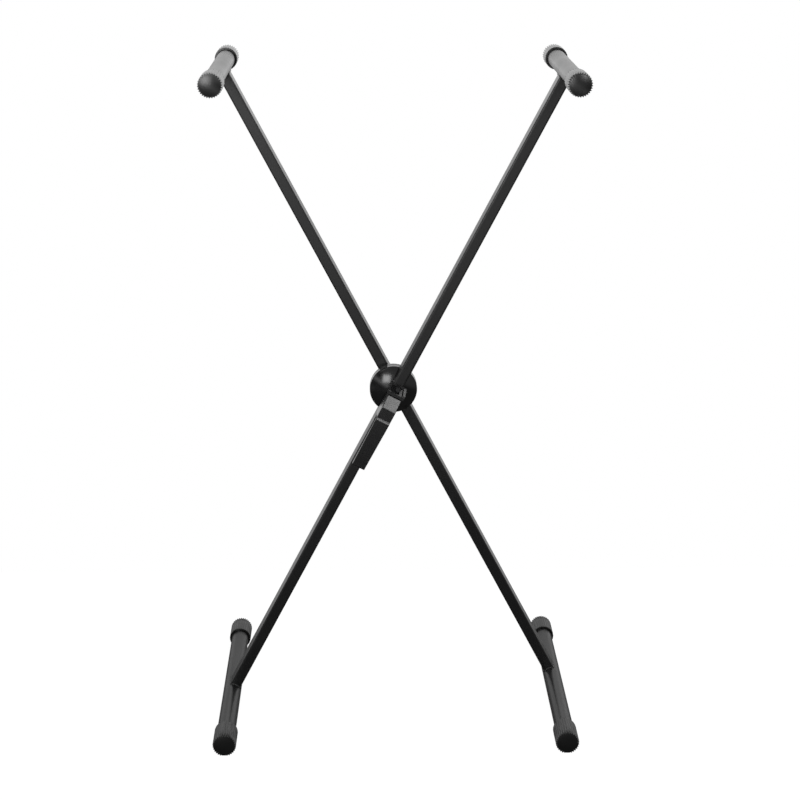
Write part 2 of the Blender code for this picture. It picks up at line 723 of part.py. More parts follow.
def make_bracket(parent):
    """Base plate on the arm's face, two cheeks, a slotted deck, a bridge and two hinge lugs."""
    face = (0.0, FRONT_ARM_FACE)
    wide = [
        (-BRACKET_TOP, SEAT_GAP),
        (BRACKET_BOTTOM, SEAT_GAP),
        (BRACKET_BOTTOM, PLATE_TOP_OUT),
        (-BRACKET_TOP, PLATE_TOP_OUT),
    ]
    shape = side_prism(wide, -BRACKET_HALF_WIDTH, BRACKET_HALF_WIDTH, face)
    bracket = add_piece("lever_bracket", shape, parent, LEVER_MOULDING)
    narrow = [
        (BRACKET_BOTTOM - BRACKET_WALL, SEAT_GAP),
        (PLATE_END, SEAT_GAP),
        (PLATE_END, PLATE_TOP_OUT),
        (BRACKET_BOTTOM - BRACKET_WALL, PLATE_TOP_OUT),
    ]
    join(bracket, side_prism(narrow, -PLATE_HALF_WIDTH, PLATE_HALF_WIDTH, face))
    inside = BRACKET_HALF_WIDTH - BRACKET_WALL
    deck_half = inside + BRACKET_WALL / 2
    join(bracket, side_prism(bracket_deck(), -deck_half, deck_half, face))
    for left, right in ((-BRACKET_HALF_WIDTH, -inside), (inside, BRACKET_HALF_WIDTH)):
        join(bracket, side_prism(bracket_cheek(), left, right, face))
    lug_outer = LUG_INNER + LUG_THICKNESS
    for left, right in ((-lug_outer, -LUG_INNER), (LUG_INNER, lug_outer)):
        join(bracket, side_prism(lug_outline(), left, right, face))
    slot = [
        (-2 * BRACKET_TOP, PLATE_TOP_OUT + SEAT_GAP),
        (-2 * BRACKET_TOP, BRIDGE_BACK - SEAT_GAP),
        (BRACKET_BOTTOM - SEAT_GAP, BRIDGE_BACK - SEAT_GAP),
        (BRACKET_BOTTOM - SEAT_GAP, PLATE_TOP_OUT + SEAT_GAP),
    ]
    cut(bracket, side_prism(slot, -DECK_SLOT_HALF, DECK_SLOT_HALF, face))
    groove = [
        (-2 * BRACKET_TOP, PLATE_TOP_OUT + SEAT_GAP),
        (-2 * BRACKET_TOP, 2 * BRACKET_REACH),
        (DECK_FRONT_TOP + DECK_GROOVE, 2 * BRACKET_REACH),
        (DECK_FRONT_TOP + DECK_GROOVE, BRACKET_REACH),
        (DECK_BACK_TOP + DECK_GROOVE, PLATE_TOP_OUT + SEAT_GAP),
    ]
    for left, right in ((-inside, DECK_GROOVE - inside), (inside - DECK_GROOVE, inside)):
        cut(bracket, side_prism(groove, left, right, face))
    hinge = (FRONT_ARM_FACE - HINGE_OUT, -HINGE_DOWN)
    cut(bracket, cross_rod(HINGE_PIN_RADIUS + RUNNING_GAP, BRACKET_HALF_WIDTH, hinge))
    low = FRONT_ARM_FACE - PLATE_TOP_OUT - PLATE_THICKNESS
    high = FRONT_ARM_FACE + PLATE_THICKNESS
    cut(bracket, rod(BOLT_HOLE_RADIUS, low, high))
    cut(bracket, rod(PIN_HOLE_RADIUS, low, high, centre=(0.0, PIN_UP)))
    cut(bracket, rod(RIVET_RADIUS + SEAT_GAP, low, high, 16, (0.0, -RIVET_DOWN)))


def make_bracket_fixings(parent):
    head_back = FRONT_ARM_FACE - PLATE_TOP_OUT - SEAT_GAP
    head_front = head_back - RIVET_HEAD_HEIGHT
    centre = (0.0, -RIVET_DOWN)
    shank_end = FRONT_ARM_FACE + RIVET_GRIP
    shank = rod(RIVET_RADIUS, head_front + RIVET_HEAD_HEIGHT / 2, shank_end, 16, centre)
    rivet = add_piece("bracket_rivet", shank, parent, ZINC_PLATE)
    join(rivet, rod(RIVET_HEAD_RADIUS, head_front, head_back, 16, centre))
    hinge = (FRONT_ARM_FACE - HINGE_OUT, -HINGE_DOWN)
    pin = cross_rod(HINGE_PIN_RADIUS, LEVER_HALF_WIDTH - SEAT_GAP, hinge)
    add_piece("lever_hinge_pin", pin, parent, SPRING_STEEL)
    helix(
        "return_spring",
        parent,
        RETURN_WIRE_RADIUS,
        RETURN_SPRING_RADIUS,
        RETURN_SPRING_LENGTH,
        (
            0.0,
            FRONT_ARM_FACE - PLATE_TOP_OUT - SEAT_GAP - RETURN_SPRING_LENGTH,
            -RETURN_SPRING_DOWN,
        ),
    )


def lever_outline():
    """Side view of the lever, as (down, out)."""
    return [
        (LEVER_TOP + LEVER_HEEL_DOWN, LEVER_BACK_GAP),
        (LEVER_TOP, LEVER_HEEL_OUT),
        (LEVER_TOP, RAMP_TOP_OUT),
        (RAMP_END, FACE_OUT),
        (LEDGE_DOWN, FACE_OUT),
        (LEDGE_DOWN + LEDGE_DROP, LEDGE_OUT),
        (LEVER_LENGTH, LEVER_END_OUT),
        (LEVER_LENGTH, LEVER_END_OUT - LEVER_BODY_DEPTH),
        (LEDGE_DOWN + LEVER_SKIN, LEDGE_OUT - LEVER_BODY_DEPTH),
        (LEDGE_DOWN, LEDGE_OUT - LEVER_BODY_DEPTH - LEVER_SKIN),
        (LEDGE_DOWN, LEVER_BACK_OUT),
        (HINGE_DOWN + LUG_RADIUS, LEVER_BACK_GAP),
    ]


def narrow_to_end(shape):
    """Draw the lever's sides in from the ledge to its lower end."""
    ledge = HINGE_DOWN - LEDGE_DOWN
    end = HINGE_DOWN - LEVER_LENGTH
    for vert in shape.verts:
        share = min(1.0, max(0.0, (vert.co.z - ledge) / (end - ledge)))
        vert.co.x *= 1 + share * (LEVER_END_HALF_WIDTH / LEVER_HALF_WIDTH - 1)


def make_lever(parent):
    """A hollow moulding: a block with a ramp over the hinge, and a long channel below it."""
    hinge = (HINGE_DOWN, HINGE_OUT)
    outer = side_prism(lever_outline(), -LEVER_HALF_WIDTH, LEVER_HALF_WIDTH, hinge)
    bmesh.ops.bevel(
        outer,
        geom=outer.edges[:],
        offset=LEVER_EDGE,
        offset_type="OFFSET",
        segments=2,
        profile=0.5,
        affect="EDGES",
        clamp_overlap=True,
    )
    narrow_to_end(outer)
    lever = add_piece("release_lever", outer, parent, LEVER_MOULDING)
    above = LEVER_TOP - LEVER_SKIN
    inner_face = FACE_OUT - LEVER_SKIN
    pocket = [
        (above, -LEVER_SKIN),
        (above, FORK_FRONT_OUT + SEAT_GAP),
        (LEVER_TOP + LEVER_SKIN, FORK_FRONT_OUT + SEAT_GAP),
        (LEVER_TOP + LEVER_SKIN, RAMP_TOP_OUT - LEVER_SKIN),
        (RAMP_END + LEVER_SKIN / 2, inner_face),
        (LEDGE_DOWN - LEVER_SKIN, inner_face),
        (LEDGE_DOWN - LEVER_SKIN, -LEVER_SKIN),
    ]
    inside = LEVER_HALF_WIDTH - LEVER_CHEEK
    cut(lever, side_prism(pocket, -inside, inside, hinge))
    behind = LEVER_END_OUT - 2 * LEVER_BODY_DEPTH
    channel = [
        (LEDGE_DOWN + LEDGE_DROP + LEVER_SKIN, behind),
        (LEDGE_DOWN + LEDGE_DROP + LEVER_SKIN, LEDGE_OUT - LEVER_SKIN),
        (LEVER_LENGTH - LEVER_SKIN, LEVER_END_OUT - LEVER_SKIN),
        (LEVER_LENGTH - LEVER_SKIN, behind),
    ]
    hollow = side_prism(channel, -inside, inside, hinge)
    narrow_to_end(hollow)
    cut(lever, hollow)
    pin_hole = cross_rod(HINGE_PIN_RADIUS + RUNNING_GAP, 2 * LEVER_HALF_WIDTH, (0.0, 0.0))
    cut(lever, pin_hole)


def make_pull_fork(parent):
    """A steel strap on the hinge: a fork round the pin's neck and a leg down in the lever."""
    tip = PIN_UP + FORK_TIP_PAST_PIN + HINGE_DOWN
    leg = HINGE_DOWN - (LEDGE_DOWN - LEVER_SKIN - SEAT_GAP)
    half = FORK_THICKNESS / 2
    shape = block((-FORK_HALF_WIDTH, -half, leg), (FORK_HALF_WIDTH, half, tip))
    fork = add_piece("pull_fork", shape, parent, BLACK_OXIDE)
    barrel_half = LUG_INNER - SEAT_GAP
    join(fork, cross_rod(FORK_BARREL_RADIUS, barrel_half, (0.0, 0.0)))
    slot_half = PIN_NECK_RADIUS + SEAT_GAP
    slot = block(
        (-slot_half, -FORK_THICKNESS, PIN_UP + HINGE_DOWN - slot_half),
        (slot_half, FORK_THICKNESS, tip + FORK_THICKNESS),
    )
    cut(fork, slot)
    cut(fork, cross_rod(HINGE_PIN_RADIUS + RUNNING_GAP, 2 * FORK_HALF_WIDTH, (0.0, 0.0)))


def main():
    clear_scene()
    pivot = (0.0, 0.0, PIVOT_HEIGHT)
    rear = make_empty("rear_frame", pivot, -TILT)
    front = make_empty("front_frame", pivot, TILT)
    hinge_place = (0.0, FRONT_ARM_FACE - HINGE_OUT, -HINGE_DOWN)
    lever_hinge = make_empty("lever_hinge", hinge_place, parent=front)

    make_frame_tubes(rear, "rear_arm", REAR_ARM_BACK, "left", "right", -TILT, on_front=False)
    make_frame_tubes(front, "front_arm", FRONT_ARM_BACK, "right", "left", TILT, on_front=True)
    make_rear_hub(rear)
    make_pivot_bolt(rear)
    make_front_hub(front)
    make_bracket(front)
    make_bracket_fixings(front)
    make_lock_pin(front)
    make_lever(lever_hinge)
    make_pull_fork(lever_hinge)


main()
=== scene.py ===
"""Looks of a folding keyboard stand: powder-coated steel tube, fluted end caps and a glossy hub.

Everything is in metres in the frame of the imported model, +Z up, the floor at z = 0. Sizes are
written in millimetres and turned to metres by one factor. Each visible tube, cap and hub shell is
a surface worked out on a grid of points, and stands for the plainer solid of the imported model.
"""

from __future__ import annotations

import json
import logging
import math
from dataclasses import dataclass, field
from enum import Enum
from typing import Any

import bmesh
import bpy
import numpy as np
from mathutils import Matrix, Vector


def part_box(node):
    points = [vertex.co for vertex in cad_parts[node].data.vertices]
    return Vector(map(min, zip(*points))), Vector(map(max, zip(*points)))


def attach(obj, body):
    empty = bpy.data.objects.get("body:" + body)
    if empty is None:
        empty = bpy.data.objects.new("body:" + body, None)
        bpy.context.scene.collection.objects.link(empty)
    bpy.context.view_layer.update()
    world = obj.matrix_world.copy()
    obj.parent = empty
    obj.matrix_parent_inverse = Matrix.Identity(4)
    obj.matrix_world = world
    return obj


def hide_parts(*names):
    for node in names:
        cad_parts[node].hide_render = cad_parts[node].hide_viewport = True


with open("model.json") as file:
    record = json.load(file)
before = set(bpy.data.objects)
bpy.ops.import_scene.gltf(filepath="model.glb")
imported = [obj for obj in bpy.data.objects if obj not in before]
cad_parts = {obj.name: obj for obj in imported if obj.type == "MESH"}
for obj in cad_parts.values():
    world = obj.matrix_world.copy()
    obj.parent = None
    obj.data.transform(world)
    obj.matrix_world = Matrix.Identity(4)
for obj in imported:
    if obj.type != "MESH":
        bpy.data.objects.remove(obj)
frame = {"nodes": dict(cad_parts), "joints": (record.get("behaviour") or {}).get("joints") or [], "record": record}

LOG = logging.getLogger("keyboard_stand")
MM = 0.001
PHOTO_PIXELS = 800
Array = np.ndarray


class Side(Enum):
    """Left or right of the stand, seen from the front."""

    LEFT = -1
    RIGHT = 1


class End(Enum):
    """Front or rear end of a bar."""

    FRONT = -1
    REAR = 1


class Level(Enum):
    """Upper or lower end of an arm."""

    FOOT = -1
    TOP = 1


# Meshes


def surface(name: str, rings: Array, closed: bool = False, sharp_deg: float = 38.0) -> bpy.types.Object:
    """Make a solid from rings of points, each ring joined round on itself.

    Neighbouring rings are joined by squares. A closed surface joins its last ring to its first,
    as on a tube with a bore, and any other is shut by a fan to the middle of each end ring.
    The faces are turned round if the enclosed volume comes out negative.

    Args:
        name: The object's name.
        rings: Points, as rings by points round by three.
        closed: Whether the last ring joins the first.
        sharp_deg: Faces that meet at more than this angle keep a sharp edge.

    Returns:
        The object, at the origin.
    """
    count, around = rings.shape[:2]
    points = rings.reshape(-1, 3)
    here = np.arange(count if closed else count - 1)[:, None] * around
    above = (here + around) % (count * around)
    step = np.arange(around)[None, :]
    turn = (step + 1) % around
    quads = np.stack([here + step, here + turn, above + turn, above + step], axis=-1).reshape(-1, 4)
    faces = quads.tolist()
    if not closed:
        points = np.vstack([points, rings[0].mean(axis=0), rings[-1].mean(axis=0)])
        first, last = len(points) - 2, len(points) - 1
        low, low_turn = step[0], turn[0]
        high = low + (count - 1) * around
        high_turn = low_turn + (count - 1) * around
        faces += np.stack([np.full(around, first), low_turn, low], axis=-1).tolist()
        faces += np.stack([np.full(around, last), high, high_turn], axis=-1).tolist()
    corners = points[quads]
    normal = np.cross(corners[:, 1] - corners[:, 0], corners[:, 2] - corners[:, 0])
    middle = points.mean(axis=0)
    if (normal * (corners.mean(axis=1) - middle)).sum() < 0 and not closed:
        faces = [face[::-1] for face in faces]
    elif closed and tube_volume(corners) < 0:
        faces = [face[::-1] for face in faces]
    mesh = bpy.data.meshes.new(name)
    mesh.from_pydata(points.tolist(), [], faces)
    mesh.validate()
    mesh.shade_smooth()
    mesh.set_sharp_from_angle(angle=math.radians(sharp_deg))
    obj = bpy.data.objects.new(name, mesh)
    bpy.context.scene.collection.objects.link(obj)
    return obj


def tube_volume(corners: Array) -> float:
    """Signed volume inside closed squares, as the sum of tetrahedra to the origin.

    Args:
        corners: Squares by four corners by three.

    Returns:
        Six times the volume, positive where the squares face outwards.
    """
    a, b, c, d = (corners[:, k] for k in range(4))
    return float((np.cross(a, b) * c).sum() + (np.cross(a, c) * d).sum())


def turned(profile: Array, around: int, start: float = 0.0) -> Array:
    """Turn a profile of (radius, height) about local Y.

    Args:
        profile: Points of the profile, in metres.
        around: Points in each ring.
        start: Angle of the first point, in radians.

    Returns:
        Rings by points by three: x = r cos a, y = height, z = r sin a.
    """
    angle = start + np.linspace(0.0, 2 * np.pi, around, endpoint=False)
    radius, height = profile[:, 0:1], profile[:, 1:2]
    flat = np.ones_like(angle)[None, :]
    return np.stack([radius * np.cos(angle), height * flat, radius * np.sin(angle)], axis=-1)


def arc(centre: tuple[float, float], radius: float, start_deg: float, end_deg: float, count: int) -> Array:
    """Points of a round corner of a profile.

    Args:
        centre: Middle of the arc, as (radius, height).
        radius: The arc's radius.
        start_deg: First angle, from the direction of growing radius.
        end_deg: Last angle.
        count: Number of points.

    Returns:
        Points by two.
    """
    angle = np.radians(np.linspace(start_deg, end_deg, count))
    return np.stack([centre[0] + radius * np.cos(angle), centre[1] + radius * np.sin(angle)], axis=-1)


def rounded_outline(width: float, depth: float, corner: float, steps: int = 8, flat_steps: int = 6) -> Array:
    """Points round a rectangle with round corners, in X and Y.

    Args:
        width: Size along X.
        depth: Size along Y.
        corner: Corner radius.
        steps: Spans in each corner.
        flat_steps: Spans along each straight side.

    Returns:
        Points by two, anticlockwise.
    """
    pieces = []
    signs = np.array([(1, 1), (-1, 1), (-1, -1), (1, -1)])
    centres = signs * (np.array([width, depth]) / 2 - corner)
    for quarter in range(4):
        angle = np.pi / 2 * (quarter + np.arange(steps + 1) / steps)
        bend = centres[quarter] + corner * np.stack([np.cos(angle), np.sin(angle)], axis=-1)
        start = centres[(quarter + 1) % 4] + corner * np.array([np.cos(angle[-1]), np.sin(angle[-1])])
        share = (np.arange(1, flat_steps) / flat_steps)[:, None]
        pieces += [bend, bend[-1] + (start - bend[-1]) * share]
    return np.vstack(pieces)


# Finishes


def linear(hex_colour: str) -> tuple[float, float, float, float]:
    """Turn an sRGB hex colour to linear light.

    Args:
        hex_colour: Six hex digits after a #.

    Returns:
        Red, green, blue and 1.
    """
    value = np.array([int(hex_colour[k : k + 2], 16) for k in (1, 3, 5)]) / 255.0
    light = np.where(value <= 0.04045, value / 12.92, ((value + 0.055) / 1.055) ** 2.4)
    return (*(float(channel) for channel in light), 1.0)


def add_node(tree: Any, kind: str, inputs: dict[Any, Any] | None = None, **settings: Any) -> Any:
    """Add a node, set its properties, and set or link its inputs.

    Args:
        tree: The node tree.
        kind: The node's type name.
        inputs: Input name or index to a value, or to the output socket that feeds it.
        **settings: Properties of the node.

    Returns:
        The node.
    """
    node = tree.nodes.new(kind)
    for name, value in settings.items():
        setattr(node, name, value)
    for key, value in (inputs or {}).items():
        if isinstance(value, bpy.types.NodeSocket):
            tree.links.new(value, node.inputs[key])
        else:
            node.inputs[key].default_value = value
    return node


@dataclass(frozen=True)
class Finish:
    """A surface finish: two shades mixed by slow mottling, uneven gloss and a fine grain.

    The grain is drawn as a bump whose spacing is a real size in millimetres.
    """

    name: str
    shade: str
    other_shade: str
    roughness: float
    roughness_spread: float
    grain_mm: float
    grain_depth_mm: float
    mottle_mm: float
    metallic: float = 0.0
    coat: float = 0.0
    coat_roughness: float = 0.1
    specular: float = 0.5

    def material(self) -> bpy.types.Material:
        """Build the finish's node material, once for all its pieces."""
        found = bpy.data.materials.get(self.name)
        if found is not None:
            return found
        material = bpy.data.materials.new(self.name)
        material.use_nodes = True
        tree = material.node_tree
        tree.nodes.clear()
        place = add_node(tree, "ShaderNodeTexCoord").outputs["Object"]
        mottle = add_node(
            tree,
            "ShaderNodeTexNoise",
            {"Vector": place, "Scale": 1000.0 / self.mottle_mm, "Detail": 3.0, "Roughness": 0.55},
        ).outputs["Fac"]
        colour = add_node(
            tree,
            "ShaderNodeMix",
            {0: mottle, 6: linear(self.shade), 7: linear(self.other_shade)},
            data_type="RGBA",
        ).outputs[2]
        gloss = add_node(
            tree,
            "ShaderNodeMapRange",
            {
                "Value": mottle,
                "From Min": 0.3,
                "From Max": 0.7,
                "To Min": self.roughness - self.roughness_spread,
                "To Max": self.roughness + self.roughness_spread,
            },
        ).outputs["Result"]
        grain = self.grain(tree, place)
        bump = add_node(
            tree,
            "ShaderNodeBump",
            {"Height": grain, "Distance": self.grain_depth_mm * MM, "Strength": 1.0},
        ).outputs["Normal"]
        shader = add_node(
            tree,
            "ShaderNodeBsdfPrincipled",
            {
                "Base Color": colour,
                "Roughness": gloss,
                "Normal": bump,
                "Metallic": self.metallic,
                "Coat Weight": self.coat,
                "Coat Roughness": self.coat_roughness,
                "Specular IOR Level": self.specular,
            },
        )
        add_node(tree, "ShaderNodeOutputMaterial", {"Surface": shader.outputs["BSDF"]})
        return material

    def grain(self, tree: Any, place: Any) -> Any:
        """Height of the finish's grain.

        Args:
            tree: The material's node tree.
            place: Object coordinates.

        Returns:
            The output socket that holds the height.
        """
        return add_node(
            tree,
            "ShaderNodeTexNoise",
            {"Vector": place, "Scale": 1000.0 / self.grain_mm, "Detail": 2.0, "Roughness": 0.5},
        ).outputs["Fac"]


@dataclass(frozen=True)
class MouldedGrain(Finish):
    """Moulded plastic whose grain comes from a spark-eroded tool: small rounded pits."""

    def grain(self, tree: Any, place: Any) -> Any:
        """Height of the pits, from the distance to scattered points."""
        return add_node(
            tree,
            "ShaderNodeTexVoronoi",
            {"Vector": place, "Scale": 1000.0 / self.grain_mm},
            feature="SMOOTH_F1",
        ).outputs["Distance"]


# Black polyester powder coat, oven cured on steel tube: a satin sheen with slight orange peel.
POWDER_COAT = Finish("powder_coat", "#080809", "#0b0b0c", 0.34, 0.02, 2.2, 0.02, 60.0)
# Moulded PVC end cap, softer and duller than the tube, with a fine eroded grain.
CAP_PVC = MouldedGrain("moulded_pvc", "#070707", "#090909", 0.3, 0.03, 1.2, 0.03, 18.0)
# Polished ABS hub moulding: deep gloss with only slow waviness.
HUB_ABS = Finish("polished_abs", "#080809", "#0b0b0c", 0.19, 0.02, 9.0, 0.02, 25.0)
# Glass-filled nylon lever and bracket: satin, with a fine eroded grain.
LEVER_NYLON = MouldedGrain("glass_filled_nylon", "#080809", "#0b0b0c", 0.26, 0.03, 0.9, 0.02, 15.0)
# Zinc-plated steel, passivated: soft grey metal with a cloudy gloss.
ZINC_PLATE = Finish("zinc_plated_steel", "#a9acb0", "#bcbfc2", 0.32, 0.08, 0.8, 0.01, 6.0, metallic=1.0)
# Black oxide on steel fasteners: a thin, even, nearly matte black that still shows the machining.
BLACK_OXIDE = Finish("black_oxide_steel", "#101011", "#18181a", 0.5, 0.08, 0.7, 0.01, 5.0)
# Drawn spring steel, lightly oiled.
SPRING_STEEL = Finish("spring_steel", "#7d7d80", "#8d8d90", 0.28, 0.05, 0.5, 0.01, 4.0, metallic=1.0)
# Natural acetal for bushes and spacers.
ACETAL = Finish("natural_acetal", "#cfccc2", "#d8d5cb", 0.45, 0.04, 1.0, 0.01, 10.0)


def dress(obj: bpy.types.Object, finish: Finish, slot: str, body: str, *nodes: str) -> bpy.types.Object:
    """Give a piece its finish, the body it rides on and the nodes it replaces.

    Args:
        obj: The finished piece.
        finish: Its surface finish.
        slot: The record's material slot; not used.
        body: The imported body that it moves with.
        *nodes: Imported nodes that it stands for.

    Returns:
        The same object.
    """
    obj.data.materials.clear()
    obj.data.materials.append(finish.material())
    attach(obj, body)
    if nodes:
        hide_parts(*nodes)
    LOG.info("%s: %d faces, rides on %s", obj.name, len(obj.data.polygons), body)
    return obj


# The stand


@dataclass
class ArmFrame:
    """One arm with its two bars and four caps, modelled upright about the bolt and then tilted.

    In its own axes Z runs along the arm, Y along the bars and the origin is on the bolt's axis.
    """

    body: str
    arm: str
    top: Side
    pivot: Vector = field(default_factory=lambda: Vector(frame["joints"][0]["pos_m"]))
    arm_width: float = 15.0 * MM
    arm_depth: float = 30.0 * MM
    arm_corner: float = 1.9 * MM
    arm_wall: float = 1.5 * MM
    bar_radius: float = 12.5 * MM
    bar_wall: float = 1.5 * MM
    seat_gap: float = 0.3 * MM
    bead_radius: float = 1.5 * MM
    bead_ripple_mm: float = 2.4

    def __post_init__(self) -> None:
        """Take the tilt, the arm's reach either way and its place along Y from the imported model."""
        self.reach: dict[Level, float] = {}
        for level in Level:
            low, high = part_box(self.bar_node(level))
            across = level.value * (low.x + high.x) / 2
            up = level.value * ((low.z + high.z) / 2 - self.pivot.z)
            self.reach[level] = math.hypot(across, up)
            self.tilt = math.atan2(across, up)
        low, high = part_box(self.arm)
        self.middle = (low.y + high.y) / 2

    def bar_side(self, level: Level) -> Side:
        """The side that the bar at one end of the arm is on."""
        return self.top if level is Level.TOP else Side(-self.top.value)

    def bar_node(self, level: Level) -> str:
        """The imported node's name of the bar at one end of the arm."""
        return f"{self.bar_side(level).name.lower()}_{level.name.lower()}_bar"

    def cap_node(self, level: Level, end: End) -> str:
        """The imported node's name of the cap at one end of a bar."""
        return f"{self.bar_side(level).name.lower()}_{level.name.lower()}_{end.name.lower()}_cap"

    def tilted(self, points: Array) -> Array:
        """Turn points from the arm's own axes into the stand's.

        Args:
            points: Any shape by three.

        Returns:
            The points turned about Y by the tilt and lifted to the bolt.
        """
        sine, cosine = math.sin(self.tilt), math.cos(self.tilt)
        x, y, z = points[..., 0], points[..., 1], points[..., 2]
        return np.stack([x * cosine + z * sine, y, self.pivot.z - x * sine + z * cosine], axis=-1)

    def upright(self, points: Array) -> Array:
        """Turn points from the stand's axes back into the arm's own.

        Args:
            points: Any shape by three.

        Returns:
            The points as the tilt found them.
        """
        sine, cosine = math.sin(self.tilt), math.cos(self.tilt)
        x, y, z = points[..., 0], points[..., 1], points[..., 2] - self.pivot.z
        return np.stack([x * cosine - z * sine, y, x * sine + z * cosine], axis=-1)

    def saddle(self, outline: Array, level: Level, radius: float) -> Array:
        """Height at which each point of an outline across the arm meets a round bar.

        The bar's surface lies at the reach less the root of its radius squared less x squared.
        """
        return level.value * (self.reach[level] - np.sqrt(radius**2 - outline[:, 0] ** 2))

    def build_arm(self) -> None:
        """Rectangular tube whose two walls run from one saddle to the other."""
        outer = rounded_outline(self.arm_width, self.arm_depth, self.arm_corner)
        inner = rounded_outline(
            self.arm_width - 2 * self.arm_wall,
            self.arm_depth - 2 * self.arm_wall,
            self.arm_corner - self.arm_wall,
        )
        seat = self.bar_radius + self.seat_gap
        rings = []
        for outline, order in ((outer, (Level.FOOT, Level.TOP)), (inner, (Level.TOP, Level.FOOT))):
            ends = [self.saddle(outline, level, seat) for level in order]
            for share in np.linspace(0.0, 1.0, 9):
                height = ends[0] + (ends[1] - ends[0]) * share
                rings.append(np.column_stack([outline[:, 0], outline[:, 1] + self.middle, height]))
        arm = surface(f"{self.arm}_tube", self.tilted(np.array(rings)), closed=True)
        dress(arm, POWDER_COAT, "frame_coat", self.body, self.arm)

    def build_bead(self, level: Level) -> None:
        """Weld bead round the arm where it meets a bar, a rippled roll along the saddle line."""
        outline = rounded_outline(self.arm_width, self.arm_depth, self.arm_corner, 10, 24)
        height = self.saddle(outline, level, self.bar_radius)
        path = np.column_stack([outline[:, 0], outline[:, 1] + self.middle, height])
        ahead = np.roll(path, -1, axis=0) - np.roll(path, 1, axis=0)
        ahead /= np.linalg.norm(ahead, axis=1, keepdims=True)
        outward = np.column_stack([ahead[:, 1], -ahead[:, 0], np.zeros(len(path))])
        outward /= np.linalg.norm(outward, axis=1, keepdims=True)
        along = np.cross(ahead, outward)
        distance = np.cumsum(np.linalg.norm(np.roll(path, -1, axis=0) - path, axis=1))
        ripple = 1.0 + 0.1 * np.sin(2 * np.pi * distance / (self.bead_ripple_mm * MM))
        radius = (self.bead_radius * ripple)[:, None, None]
        angle = np.linspace(0.0, 2 * np.pi, 12, endpoint=False)[None, :, None]
        rings = path[:, None] + radius * (
            outward[:, None] * np.cos(angle) + along[:, None] * np.sin(angle)
        )
        bead = surface(f"{self.arm}_{level.name.lower()}_weld", self.tilted(rings), closed=True)
        dress(bead, POWDER_COAT, "frame_coat", self.body)

    def build_bar(self, level: Level) -> None:
        """Round tube between its two caps' closed ends."""
        node = self.bar_node(level)
        low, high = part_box(node)
        bore = self.bar_radius - self.bar_wall
        outer = np.column_stack([np.full(9, self.bar_radius), np.linspace(low.y, high.y, 9)])
        inner = np.column_stack([np.full(9, bore), np.linspace(high.y, low.y, 9)])
        rings = turned(np.vstack([outer, inner]), 96)
        rings[..., 2] += level.value * self.reach[level]
        bar = surface(f"{node}_tube", self.tilted(rings), closed=True)
        dress(bar, POWDER_COAT, "frame_coat", self.body, node)

    def build(self) -> None:
        """Build the arm, its welds, its bars and their caps."""
        self.build_arm()
        for level in Level:
            self.build_bead(level)
            self.build_bar(level)
            for end in End:
                EndCap(self, level, end).build()


@dataclass
class EndCap:
    """Fluted cup over the end of a bar: teeth round its rim, a smooth domed face, a flat on feet."""

    frame: ArmFrame
    level: Level
    end: End
    radius: float = 15.8 * MM
    bore: float = 12.8 * MM
    length: float = 47.0 * MM
    end_wall: float = 3.5 * MM
    face_radius: float = 14.0 * MM
    dome: float = 1.5 * MM
    rim_round: float = 0.8 * MM
    tail_round: float = 0.6 * MM
    teeth: int = 30
    tooth_depth: float = 1.8 * MM
    rib_share: float = 0.25
    samples: int = 8

    def profile(self) -> Array:
        """Outline from the middle of the outer face, over the rim, along the side and into the cup."""
        share = np.linspace(0.06, 1.0, 8)
        face = np.column_stack([self.face_radius * share, self.dome * share**2])
        rim_drop = self.dome + self.rim_round
        turn = np.linspace(0.0, np.pi / 2, 9)[1:]
        rim = np.column_stack(
            [
                self.face_radius + (self.radius - self.face_radius) * np.sin(turn),
                rim_drop - self.rim_round * np.cos(turn),
            ]
        )
        tail = self.length - self.tail_round
        side = np.column_stack([np.full(10, self.radius), np.linspace(rim_drop, tail, 11)[1:]])
        tail_arc = arc((self.radius - self.tail_round, tail), self.tail_round, 0.0, 90.0, 6)[1:]
        inside = [(self.bore, self.length), (self.bore, self.end_wall), (0.001 * self.bore, self.end_wall)]
        return np.vstack([face, rim, side, tail_arc, np.array(inside)])

    def fluting(self, profile: Array, angle: Array) -> Array:
        """Depth cut into the profile at each height and angle.

        Each tooth is a raised cosine. It fades in over the rim and out to fainter ribs along
        the side.
        """
        crest = (1.0 + np.cos(self.teeth * angle)) / 2
        inward = profile[:, 1]
        outside = (profile[:, 0] > self.face_radius) & (inward < self.length - 0.2 * self.tail_round)
        rise = np.clip((profile[:, 0] - self.face_radius) / (self.radius - self.face_radius), 0.0, 1.0)
        rim_end = self.dome + 2 * self.rim_round
        fade = np.clip((inward - rim_end) / (self.length / 3), 0.0, 1.0)
        strength = rise * (1.0 - (1.0 - self.rib_share) * fade) * outside
        return self.tooth_depth * strength[:, None] * (1.0 - crest[None, :])

    def build(self) -> None:
        """Build the cap on its bar and cut a foot's flat level with the floor."""
        node = self.frame.cap_node(self.level, self.end)
        low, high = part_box(node)
        tip = low.y if self.end is End.FRONT else high.y
        profile = self.profile()
        around = self.teeth * self.samples
        angle = np.linspace(0.0, 2 * np.pi, around, endpoint=False)
        depth = self.fluting(profile, angle)
        placed = np.column_stack([profile[:, 0], tip - self.end.value * profile[:, 1]])
        rings = turned(placed, around)
        scale = 1.0 - depth / np.maximum(profile[:, 0:1], MM)
        rings[..., 0] *= scale
        rings[..., 2] *= scale
        rings[..., 2] += self.level.value * self.frame.reach[self.level]
        points = self.frame.tilted(rings)
        if self.level is Level.FOOT:
            points[..., 2] = np.maximum(points[..., 2], 0.0)
        cap = surface(f"{node}_moulding", points, sharp_deg=50.0)
        dress(cap, CAP_PVC, "cap_moulding", self.frame.body, node)


